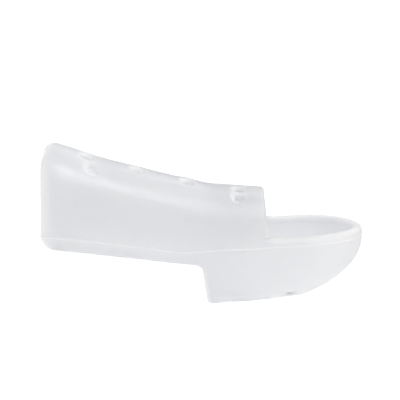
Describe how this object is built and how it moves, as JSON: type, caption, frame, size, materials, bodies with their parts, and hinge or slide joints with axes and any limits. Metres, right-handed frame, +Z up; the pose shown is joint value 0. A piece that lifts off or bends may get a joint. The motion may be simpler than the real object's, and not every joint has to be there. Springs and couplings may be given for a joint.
{
  "type": "finger splint",
  "caption": "One-piece moulded fingertip splint: arched sleeve open on the palm side, hood over the end joint, and a cup under the fingertip that is open over the nail.",
  "frame": {"origin": "centre of the bounding box at the table that the splint rests on", "axes": "+X along the finger towards the tip, +Y across the finger, +Z up from the table, back of the hand up"},
  "size_m": [0.0576, 0.019, 0.023],
  "materials": {
    "splint_plastic": "milky translucent polyethylene, satin"
  },
  "bodies": {
    "root": {"splint_shell": "splint_plastic"}
  },
  "joints": []
}
